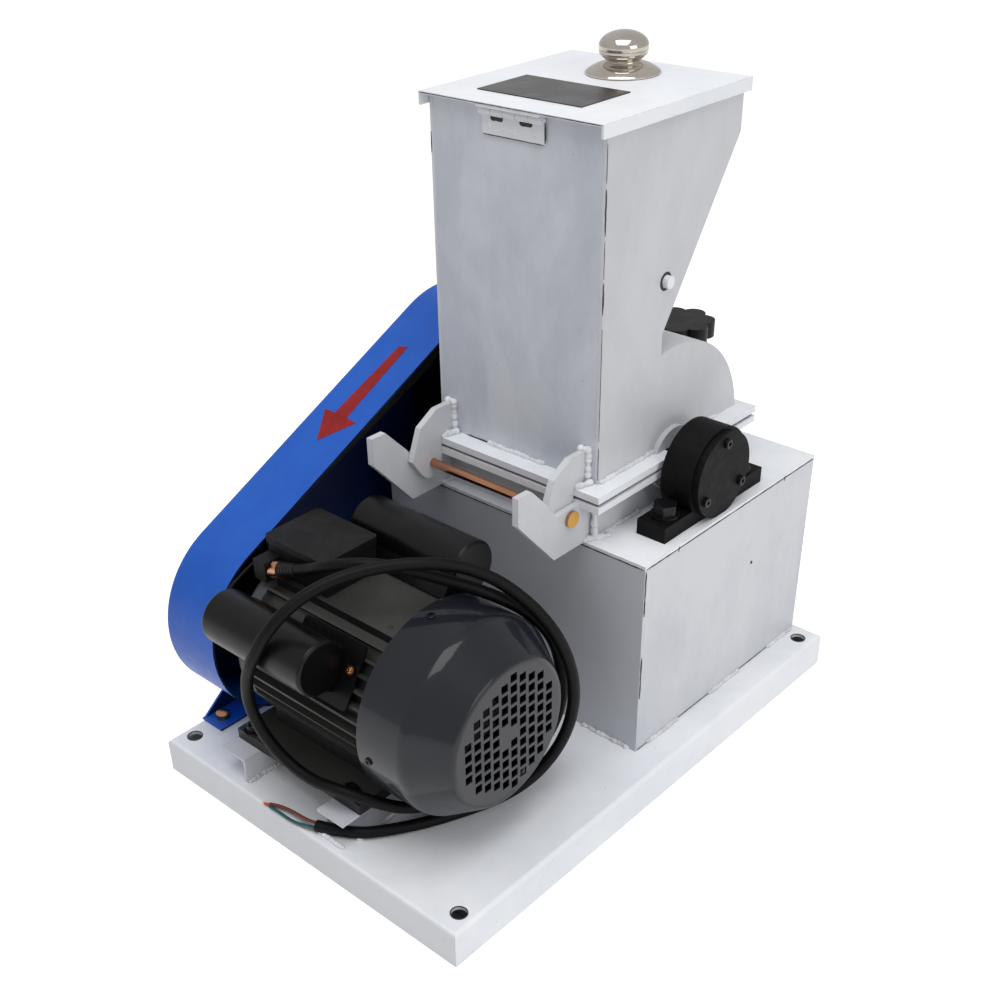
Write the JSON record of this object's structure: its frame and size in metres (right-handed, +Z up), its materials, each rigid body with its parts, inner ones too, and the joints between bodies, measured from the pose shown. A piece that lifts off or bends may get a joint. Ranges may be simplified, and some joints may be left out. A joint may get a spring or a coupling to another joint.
{
  "type": "hammer crusher",
  "caption": "Bench hammer crusher: motor and guarded belt drive a rotor in a chamber under a tall feed hopper with hinged lid; the upper housing swings open on a front hinge.",
  "frame": {"origin": "middle of the machine's footprint without its loose cable, at the base tray's underside", "axes": "+X along the rotor axis, away from the belt guard; +Y from the motor towards the crusher; +Z up"},
  "size_m": [0.35, 0.539, 0.5777],
  "materials": {
    "white_paint": "satin white paint",
    "blue_paint": "satin blue paint",
    "motor_paint": "dark charcoal paint",
    "cover_paint": "glossy slate grey paint",
    "bell_aluminium": "cast, dull",
    "black_iron": "black, matt",
    "black_steel": "black oxide",
    "bare_steel": "machined",
    "yellow_zinc": "yellow zinc plate",
    "bright_metal": "polished",
    "black_plastic": "moulded",
    "black_plate": "thin black plate",
    "gasket": "grey strip",
    "belt_rubber": "matt",
    "cable_sheath": "matt black sheath",
    "wire_sheath": "thin coloured sheath, bare copper ends"
  },
  "bodies": {
    "base_frame": {"base_tray": "white_paint", "box_ends": "white_paint", "box_sides": "white_paint", "box_top": "white_paint", "chamber_ends": "white_paint", "chamber_sides": "white_paint", "lower_flange": "white_paint", "lower_clamp_ear": "white_paint", "flange_gasket": "gasket", "housing_hinge_pin": "yellow_zinc", "lower_lugs": "white_paint", "bearing_housings": "black_iron", "bearing_caps": "black_iron", "bearing_bolts": "black_steel", "rotor_shaft": "bare_steel", "rotor_discs": "bare_steel", "hammers": "bare_steel", "grate": "bare_steel", "rotor_pulley": "black_iron", "motor_pulley": "black_iron", "drive_belt": "belt_rubber", "guard_plate": "blue_paint", "guard_band": "blue_paint", "guard_bolts": "yellow_zinc", "motor_frame": "motor_paint", "motor_end_bell": "bell_aluminium", "motor_shaft": "bare_steel", "motor_fan": "black_plastic", "fan_cover": "cover_paint", "capacitors": "black_plastic", "terminal_box": "black_plastic", "terminal_box_lid": "black_plastic", "cable_gland": "bright_metal", "motor_rails": "white_paint", "motor_cable": "cable_sheath", "bare_wires": "wire_sheath"},
    "upper_housing": {"upper_flange": "white_paint", "upper_lugs": "white_paint", "hopper_sides": "white_paint", "hopper_front": "white_paint", "hopper_back": "white_paint", "drum_cover": "white_paint", "baffle_rod": "bare_steel", "lid_hinge_wall_leaf": "white_paint"},
    "hopper_lid": {"lid": "white_paint", "lid_plate": "black_plate", "lid_knob": "bright_metal", "lid_knob_rosette": "bright_metal", "lid_hinge_lid_leaf": "white_paint"},
    "clamp_screw": {"clamp_knob": "black_plastic"}
  },
  "joints": [
    {"name": "housing_swing", "type": "hinge", "parent": "base_frame", "child": "upper_housing", "pos_m": [0.003, -0.025, 0.249], "axis": [1, 0, 0], "range_deg": [0, 68]},
    {"name": "lid_hinge", "type": "hinge", "parent": "upper_housing", "child": "hopper_lid", "pos_m": [0.003, 0.0008, 0.54015], "axis": [1, 0, 0], "range_deg": [0, 130]},
    {"name": "clamp_knob_turn", "type": "hinge", "parent": "upper_housing", "child": "clamp_screw", "pos_m": [0.003, 0.2335, 0.3], "axis": [0, 0, 1], "continuous": true}
  ]
}
